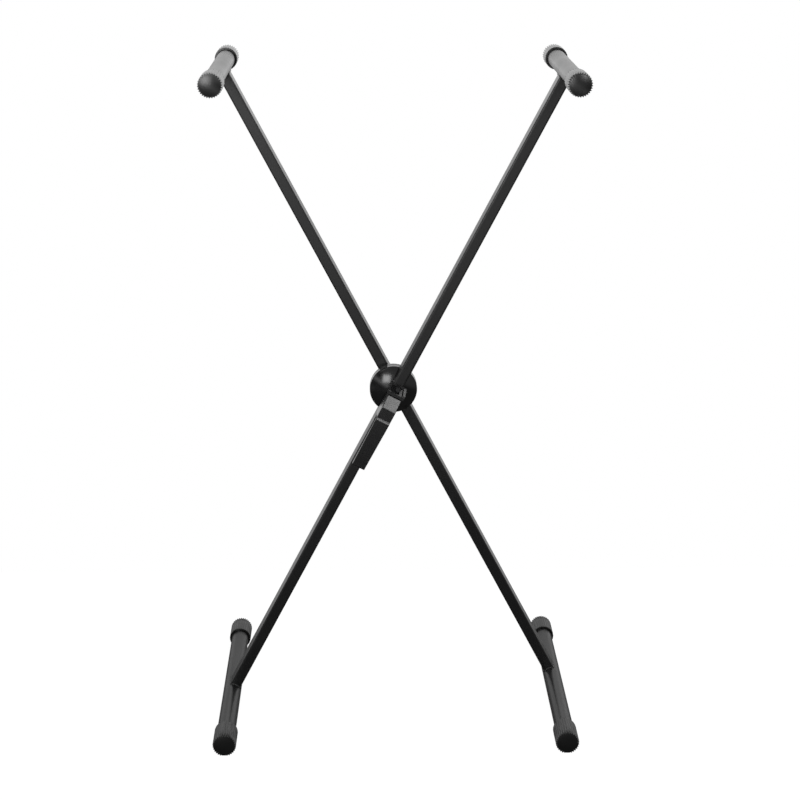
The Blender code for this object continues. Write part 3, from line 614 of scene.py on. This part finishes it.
@dataclass
class Hub:
    """Round housing between the arms: a front shell domed round its arm, a flatter rear one."""

    radius: float = 32.7 * MM
    edge: float = 1.2 * MM
    wall: float = 2.0 * MM
    gap: float = 0.3 * MM
    seam_y: float = 3.2 * MM
    seam_round: float = 0.4 * MM
    floor_y: float = -2.7 * MM
    front_side: float = 10.2 * MM
    front_dome: float = 8.4 * MM
    rear_side: float = 4.8 * MM
    rear_taper: float = 1.3 * MM
    rear_taper_length: float = 4.3 * MM
    seat_radius: float = 13.0 * MM
    bore: float = 4.3 * MM
    channel_half: float = 7.8 * MM
    around: int = 192

    def lip(self) -> Array:
        """Round corner of a shell's rim beside the seam, as (radius, height)."""
        centre = (self.radius - self.seam_round, self.gap / 2 + self.seam_round)
        return arc(centre, self.seam_round, -90.0, 0.0, 5)

    def front_profile(self) -> Array:
        """Front shell from the crown to the seam and back along its flat floor.

        The dome is part of a sphere: its height at a radius is the crown less the sphere's
        radius plus the root of the sphere's radius squared less that radius squared. A round
        edge, tangent to neither, joins it to the straight side.
        """
        rim = self.radius - self.edge
        top = self.front_side + self.edge
        sphere = (rim**2 + self.front_dome**2) / (2 * self.front_dome)
        radius = rim * np.linspace(0.002, 0.985, 36)
        height = top + self.front_dome - sphere + np.sqrt(sphere**2 - radius**2)
        dome = np.column_stack([radius, height])
        slope_deg = math.degrees(math.asin(radius[-1] / sphere))
        edge = arc((rim, self.front_side), self.edge, 90.0 - slope_deg, 0.0, 8)
        floor = self.seam_y - self.floor_y
        inside = [
            (self.radius - self.wall, self.gap / 2),
            (self.radius - self.wall, floor),
            (rim * 0.002, floor),
        ]
        return np.vstack([dome, edge, self.lip()[::-1], np.array(inside)])

    def rear_profile(self, seat: float) -> Array:
        """Rear shell from the seam over its tapered side and low crown, and back inside.

        Args:
            seat: Distance from the seam to the face that the arm rests on.

        Returns:
            Points of (radius, distance from the seam).
        """
        taper_end = self.rear_side + self.rear_taper_length
        taper_radius = self.radius - self.rear_taper
        edge = arc((taper_radius - self.edge, taper_end), self.edge, 15.0, 78.0, 7)
        start = edge[-1]
        share = np.linspace(0.0, 1.0, 20)[1:]
        radius = start[0] + (self.seat_radius - start[0]) * share
        rise = start[1] + (seat - start[1]) * (1.0 - (1.0 - share) ** 1.6)
        crown = np.column_stack([radius, rise])
        inside = [
            (self.bore, seat),
            (self.bore, seat - self.wall),
            (self.seat_radius, seat - self.wall),
            (taper_radius - self.wall, taper_end - self.edge),
            (self.radius - self.wall, self.rear_side),
            (self.radius - self.wall, self.gap / 2),
        ]
        side = [(self.radius, self.rear_side)]
        return np.vstack([self.lip(), np.array(side), edge, crown, np.array(inside)])

    def carve(self, shell: bpy.types.Object, lows: Array, highs: Array) -> None:
        """Cut boxes from a shell and keep the result as its mesh.

        Args:
            shell: The shell, at the origin.
            lows: Lowest corner of each box.
            highs: Highest corner of each box.
        """
        for low, high in zip(lows, highs):
            ring = np.array([(0, 0), (1, 0), (1, 1), (0, 1)], dtype=float)
            base = np.column_stack([ring * (high - low)[:2] + low[:2], np.full(4, low[2])])
            lid = base + np.array([0.0, 0.0, high[2] - low[2]])
            cutter = surface("channel", np.array([base, lid]), sharp_deg=30.0)
            cut = shell.modifiers.new("channel", "BOOLEAN")
            cut.operation = "DIFFERENCE"
            cut.solver = "EXACT"
            cut.object = cutter
            graph = bpy.context.evaluated_depsgraph_get()
            made = bpy.data.meshes.new_from_object(shell.evaluated_get(graph))
            shell.modifiers.clear()
            shell.data = made
            bpy.data.objects.remove(cutter, do_unlink=True)
        shell.data.set_sharp_from_angle(angle=math.radians(30.0))

    def build(self) -> None:
        """Build the front and rear shells on their arms' bodies."""
        pivot = Vector(frame["joints"][0]["pos_m"])
        tilt = Matrix.Rotation(ArmFrame("front_frame", "front_arm", Side.RIGHT).tilt, 4, "Y")
        low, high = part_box("hub_front_shell")
        front = turned(self.front_profile(), self.around)
        front[..., 1] = self.seam_y - front[..., 1]
        shell = surface("hub_front_moulding", front, sharp_deg=30.0)
        past = self.radius + self.wall
        seat = self.floor_y - self.wall
        box_low = np.array([[-self.channel_half, low.y - self.wall, -past]])
        box_high = np.array([[self.channel_half, seat, past]])
        self.carve(shell, box_low, box_high)
        shell.data.transform(Matrix.Translation((0.0, 0.0, pivot.z)) @ tilt)
        dress(shell, HUB_ABS, "hub_moulding", "front_frame", "hub_front_shell")

        low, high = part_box("hub_rear_shell")
        rear = turned(self.rear_profile(high.y - self.seam_y), self.around)
        rear[..., 1] += self.seam_y
        rear[..., 2] += pivot.z
        shell = surface("hub_rear_moulding", rear, closed=True, sharp_deg=30.0)
        dress(shell, HUB_ABS, "hub_moulding", "rear_frame", "hub_rear_shell")


@dataclass
class ReleaseLever:
    """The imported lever, with the step below its block drawn as a low slope like the ramp's."""

    node: str = "release_lever"
    face_out: float = 32.0 * MM
    step_down: float = 34.5 * MM
    step_out: float = 39.5 * MM
    end_down: float = 106.0 * MM
    end_out: float = 36.0 * MM
    slope_out: float = 1.0 * MM
    weld: float = 0.001 * MM

    def drawn_in(self, down: Array, out: Array) -> Array:
        """Distances from the arm after the long part is drawn in towards the block's face.

        What stands out beyond the face is shortened by a share that grows evenly from the step
        to the free end, so that the long part ends up parallel to the arm.

        Args:
            down: Distance below the bolt, along the arm.
            out: Distance in front of the arm's face.

        Returns:
            The new distances in front of the arm's face.
        """
        first = self.slope_out / (self.step_out - self.face_out)
        last = self.slope_out / (self.end_out - self.face_out)
        way = np.clip((down - self.step_down) / (self.end_down - self.step_down), 0.0, 1.0)
        share = first + (last - first) * way
        beyond = (out > self.face_out) & (down > self.face_out)
        return np.where(beyond, self.face_out + (out - self.face_out) * share, out)

    def build(self) -> None:
        """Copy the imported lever, join its faces and move its points."""
        arm = ArmFrame("front_frame", "front_arm", Side.RIGHT)
        low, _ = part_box(arm.arm)
        shape = bmesh.new()
        shape.from_mesh(frame["nodes"][self.node].data)
        bmesh.ops.remove_doubles(shape, verts=shape.verts[:], dist=self.weld)
        points = arm.upright(np.array([vert.co[:] for vert in shape.verts]))
        points[:, 1] = low.y - self.drawn_in(-points[:, 2], low.y - points[:, 1])
        for vert, place in zip(shape.verts, arm.tilted(points)):
            vert.co = place
        mesh = bpy.data.meshes.new("release_lever_moulding")
        shape.to_mesh(mesh)
        shape.free()
        mesh.shade_flat()
        lever = bpy.data.objects.new("release_lever_moulding", mesh)
        bpy.context.scene.collection.objects.link(lever)
        dress(lever, LEVER_NYLON, "lever_moulding", "release_lever", self.node)


@dataclass
class PackedPieces:
    """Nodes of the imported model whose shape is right, which only get a better finish."""

    finishes: dict[str, Finish] = field(
        default_factory=lambda: {
            "lever_moulding": LEVER_NYLON,
            "zinc_plate": ZINC_PLATE,
            "black_oxide": BLACK_OXIDE,
            "spring_steel": SPRING_STEEL,
            "nylon": ACETAL,
            "frame_coat": POWDER_COAT,
            "cap_moulding": CAP_PVC,
            "hub_moulding": HUB_ABS,
        }
    )

    def build(self) -> None:
        """Assign each node the finish of its slot in the record."""
        for part in frame["record"]["subparts"]:
            node = frame["nodes"][part["node"]]
            node.data.materials.clear()
            node.data.materials.append(self.finishes[part["material_slot"]].material())


# Studio


@dataclass
class Studio:
    """White sweep, soft lamps and a camera where the photograph was taken from."""

    camera_place: tuple[float, float, float] = (-0.04307, -2.72276, 1.18432)
    pitch_deg: float = 15.39
    yaw_deg: float = 1.10
    focal_pixels: float = 2035.0
    sensor: float = 36.0
    floor_shade: str = "#f0f0f0"
    floor_corners: tuple[float, float, float, float] = (-1.4, -1.95, 1.4, 0.5)
    floor_paper: float = 0.3
    floor_glow: float = 0.95
    floor_glow_in_gloss: float = 0.04
    fill_light: float = 0.1
    front_tilt: float = 0.6
    front_levels: tuple[tuple[float, float], ...] = (
        (-1.0, 0.7),
        (-0.6, 0.35),
        (-0.42, 0.1),
        (-0.31, 0.1),
        (-0.26, 1.3),
        (-0.21, 1.9),
        (-0.16, 1.7),
        (-0.1, 0.4),
        (0.0, 0.0),
        (0.15, 0.0),
        (0.35, 0.5),
        (1.0, 0.5),
    )
    rear_levels: tuple[tuple[float, float], ...] = (
        (-1.0, 0.0),
        (-0.36, 0.05),
        (-0.24, 0.4),
        (-0.16, 1.0),
        (-0.08, 1.0),
        (0.0, 0.7),
        (0.12, 0.6),
        (0.42, 0.6),
        (0.7, 0.1),
        (1.0, 0.0),
    )

    def build_camera(self) -> None:
        """Place the camera and set its focal length from the fit to the photograph."""
        data = bpy.data.cameras.new("camera")
        data.sensor_width = self.sensor
        data.lens = self.focal_pixels * self.sensor / PHOTO_PIXELS
        data.clip_end = 50.0
        camera = bpy.data.objects.new("camera", data)
        pitch, yaw = math.radians(self.pitch_deg), math.radians(self.yaw_deg)
        forward = Vector(
            (math.sin(yaw) * math.cos(pitch), math.cos(yaw) * math.cos(pitch), -math.sin(pitch))
        )
        camera.location = self.camera_place
        camera.rotation_mode = "QUATERNION"
        camera.rotation_quaternion = forward.to_track_quat("-Z", "Y")
        bpy.context.scene.collection.objects.link(camera)
        bpy.context.scene.camera = camera

    def levels(self, tree: Any, height: Any, stops: tuple[tuple[float, float], ...]) -> Any:
        """Brightness of the surroundings by how far a direction points up or down.

        Args:
            tree: The world's node tree.
            height: Socket that runs from -1 straight down to 1 straight up.
            stops: Pairs of the direction's Z and the brightness there.

        Returns:
            The colour socket.
        """
        span = {"From Min": -1.0, "From Max": 1.0}
        share = add_node(tree, "ShaderNodeMapRange", {"Value": height, **span}).outputs["Result"]
        ramp = add_node(tree, "ShaderNodeValToRGB", {"Fac": share})
        elements = ramp.color_ramp.elements
        while len(elements) < len(stops):
            elements.new(0.5)
        for element, (rise, level) in zip(elements, stops):
            element.position = (rise + 1.0) / 2
            element.color = (level, level, level, 1.0)
        return ramp.outputs["Color"]

    def build_world(self) -> None:
        """White for the camera, a studio for gloss and glass, and an even fill for the rest.

        The studio has a white backdrop behind the stand, pale air at the height of the horizon
        and a dim floor, as the photograph's reflections show.
        """
        world = bpy.data.worlds.new("studio")
        world.use_nodes = True
        tree = world.node_tree
        tree.nodes.clear()
        direction = add_node(tree, "ShaderNodeTexCoord").outputs["Generated"]
        axis = add_node(tree, "ShaderNodeSeparateXYZ", {"Vector": direction}).outputs
        slant = add_node(
            tree,
            "ShaderNodeVectorMath",
            {0: direction, 1: (self.front_tilt, 0.0, 1.0)},
            operation="DOT_PRODUCT",
        ).outputs["Value"]
        front = self.levels(tree, slant, self.front_levels)
        rear = self.levels(tree, axis["Z"], self.rear_levels)
        span = {"From Min": -0.25, "From Max": 0.25}
        behind = add_node(tree, "ShaderNodeMapRange", {"Value": axis["Y"], **span})
        room = add_node(
            tree,
            "ShaderNodeMix",
            {0: behind.outputs["Result"], 6: front, 7: rear},
            data_type="RGBA",
        ).outputs[2]
        path = add_node(tree, "ShaderNodeLightPath").outputs
        mirrored = add_node(
            tree,
            "ShaderNodeMath",
            {0: path["Is Glossy Ray"], 1: path["Is Transmission Ray"]},
            operation="MAXIMUM",
        ).outputs[0]
        fill = (self.fill_light, self.fill_light, self.fill_light, 1.0)
        light = add_node(tree, "ShaderNodeMix", {0: mirrored, 6: fill, 7: room}, data_type="RGBA")
        white = (1.0, 1.0, 1.0, 1.0)
        shown = add_node(
            tree,
            "ShaderNodeMix",
            {0: path["Is Camera Ray"], 6: light.outputs[2], 7: white},
            data_type="RGBA",
        )
        back = add_node(tree, "ShaderNodeBackground", {"Color": shown.outputs[2]})
        add_node(tree, "ShaderNodeOutputWorld", {"Surface": back.outputs[0]})
        bpy.context.scene.world = world

    def build_floor(self) -> None:
        """White floor under the stand, three parts glowing and one part lit.

        The camera sees it as white as the backdrop, with a faint shadow, and a gloss or a glass
        sees the lit part and a little of the glow.
        """
        x_low, y_low, x_high, y_high = self.floor_corners
        corners = [(x_low, y_low), (x_high, y_low), (x_high, y_high), (x_low, y_high)]
        mesh = bpy.data.meshes.new("floor")
        mesh.from_pydata([(x, y, 0.0) for x, y in corners], [], [(0, 1, 2, 3)])
        floor = bpy.data.objects.new("floor", mesh)
        material = bpy.data.materials.new("white_paper")
        material.use_nodes = True
        tree = material.node_tree
        tree.nodes.clear()
        path = add_node(tree, "ShaderNodeLightPath").outputs
        mirrored = add_node(
            tree,
            "ShaderNodeMath",
            {0: path["Is Glossy Ray"], 1: path["Is Transmission Ray"]},
            operation="MAXIMUM",
        ).outputs[0]
        low = add_node(
            tree, "ShaderNodeMapRange", {"Value": mirrored, "To Max": self.floor_glow_in_gloss}
        ).outputs["Result"]
        glow = add_node(
            tree,
            "ShaderNodeMapRange",
            {"Value": path["Is Camera Ray"], "To Min": low, "To Max": self.floor_glow},
        ).outputs["Result"]
        paper = add_node(tree, "ShaderNodeBsdfDiffuse", {"Color": linear(self.floor_shade)})
        dark = add_node(tree, "ShaderNodeBsdfDiffuse", {"Color": (0.0, 0.0, 0.0, 1.0)})
        lit = add_node(
            tree,
            "ShaderNodeMixShader",
            {0: self.floor_paper, 1: dark.outputs[0], 2: paper.outputs[0]},
        )
        light = add_node(tree, "ShaderNodeEmission", {"Strength": glow})
        both = add_node(
            tree, "ShaderNodeAddShader", {0: lit.outputs[0], 1: light.outputs[0]}
        )
        add_node(tree, "ShaderNodeOutputMaterial", {"Surface": both.outputs[0]})
        mesh.materials.append(material)
        bpy.context.scene.collection.objects.link(floor)

    def add_lamp(self, name: str, place: tuple[float, float, float], aim: Vector, size: float, power: float) -> None:
        """Add a square soft lamp.

        Args:
            name: The lamp's name.
            place: Where it hangs.
            aim: The point that it faces.
            size: Length of its side.
            power: Its power in watts.
        """
        data = bpy.data.lights.new(name, "AREA")
        data.shape = "SQUARE"
        data.size = size
        data.energy = power
        lamp = bpy.data.objects.new(name, data)
        lamp.location = place
        lamp.rotation_mode = "QUATERNION"
        lamp.rotation_quaternion = (aim - Vector(place)).to_track_quat("-Z", "Y")
        bpy.context.scene.collection.objects.link(lamp)

    def build(self) -> None:
        """Build the camera, the world, the floor and the lamps."""
        self.build_camera()
        self.build_world()
        self.build_floor()
        middle = Vector((0.0, 0.0, 0.45))
        self.add_lamp("front_left", (-0.87, -2.75, 1.28), middle, 1.0, 28.3)
        self.add_lamp("front_right", (1.49, -4.05, 1.97), middle, 0.85, 25.0)
        self.add_lamp("rear_high", (0.0, 1.3, 1.35), Vector((0.0, 0.0, 0.85)), 1.2, 3.1)
        self.add_lamp("rear_right", (1.2, 1.0, 1.2), Vector((0.2, 0.0, 0.85)), 0.8, 8.0)
        view = bpy.context.scene.view_settings
        view.view_transform = "Standard"


def main() -> None:
    """Build the studio and the stand's pieces."""
    logging.basicConfig(level=logging.INFO)
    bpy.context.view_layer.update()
    Studio().build()
    PackedPieces().build()
    ArmFrame("rear_frame", "rear_arm", Side.LEFT).build()
    ArmFrame("front_frame", "front_arm", Side.RIGHT).build()
    Hub().build()
    ReleaseLever().build()
    bpy.context.view_layer.update()


if __name__ == "__main__":
    main()
